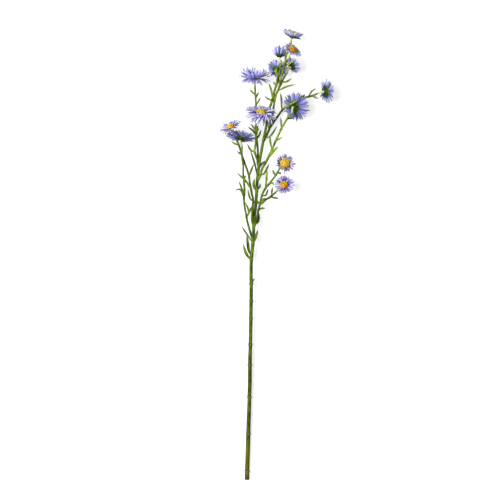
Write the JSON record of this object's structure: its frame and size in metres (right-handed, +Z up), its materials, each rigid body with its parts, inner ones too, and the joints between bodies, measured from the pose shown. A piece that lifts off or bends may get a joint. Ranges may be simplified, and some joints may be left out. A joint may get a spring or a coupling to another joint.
{
  "type": "artificial aster spray",
  "caption": "Cut artificial aster spray lying flat: a long jointed stem, slender leafy sprigs, and small daisy-like blooms of lavender rays around domed yellow discs.",
  "frame": {"origin": "bottom centre of the box around the whole spray, on the surface that it lies on", "axes": "+Y along the stem from the cut end to the topmost bloom, +Z up from the surface, +X to the right as the spray is seen from above with its tip away from the viewer"},
  "size_m": [0.1754, 0.6808, 0.0631],
  "materials": {
    "stem_green": "satin moulded plastic, brownish at the cut end",
    "sprig_green": "satin moulded plastic",
    "ray_cloth": "matte dyed cloth",
    "disc_yellow": "matte, closely knobbed",
    "calyx_green": "satin moulded plastic",
    "neck_pale": "satin moulded plastic"
  },
  "bodies": {
    "root": {"bloom_01_calyx": "calyx_green", "bloom_01_disc": "disc_yellow", "bloom_01_neck": "neck_pale", "bloom_01_rays": "ray_cloth", "bloom_02_calyx": "calyx_green", "bloom_02_disc": "disc_yellow", "bloom_02_neck": "neck_pale", "bloom_02_rays": "ray_cloth", "bloom_03_calyx": "calyx_green", "bloom_03_disc": "disc_yellow", "bloom_03_neck": "neck_pale", "bloom_03_rays": "ray_cloth", "bloom_04_calyx": "calyx_green", "bloom_04_disc": "disc_yellow", "bloom_04_neck": "neck_pale", "bloom_04_rays": "ray_cloth", "bloom_05_calyx": "calyx_green", "bloom_05_disc": "disc_yellow", "bloom_05_neck": "neck_pale", "bloom_05_rays": "ray_cloth", "bloom_06_calyx": "calyx_green", "bloom_06_disc": "disc_yellow", "bloom_06_neck": "neck_pale", "bloom_06_rays": "ray_cloth", "bloom_07_calyx": "calyx_green", "bloom_07_disc": "disc_yellow", "bloom_07_neck": "neck_pale", "bloom_07_rays": "ray_cloth", "bloom_08_calyx": "calyx_green", "bloom_08_disc": "disc_yellow", "bloom_08_neck": "neck_pale", "bloom_08_rays": "ray_cloth", "bloom_09_calyx": "calyx_green", "bloom_09_disc": "disc_yellow", "bloom_09_neck": "neck_pale", "bloom_09_rays": "ray_cloth", "bloom_10_calyx": "calyx_green", "bloom_10_disc": "disc_yellow", "bloom_10_neck": "neck_pale", "bloom_10_rays": "ray_cloth", "bloom_11_calyx": "calyx_green", "bloom_11_disc": "disc_yellow", "bloom_11_neck": "neck_pale", "bloom_11_rays": "ray_cloth", "bloom_12_calyx": "calyx_green", "bloom_12_disc": "disc_yellow", "bloom_12_neck": "neck_pale", "bloom_12_rays": "ray_cloth", "bloom_13_calyx": "calyx_green", "bloom_13_disc": "disc_yellow", "bloom_13_neck": "neck_pale", "bloom_13_rays": "ray_cloth", "main_stem": "stem_green", "sprig_left_inner": "sprig_green", "sprig_left_outer": "sprig_green", "sprig_right_high": "sprig_green", "sprig_right_low": "sprig_green", "sprig_top": "sprig_green", "sprig_upper_left": "sprig_green", "sprig_upper_right": "sprig_green"}
  },
  "joints": []
}
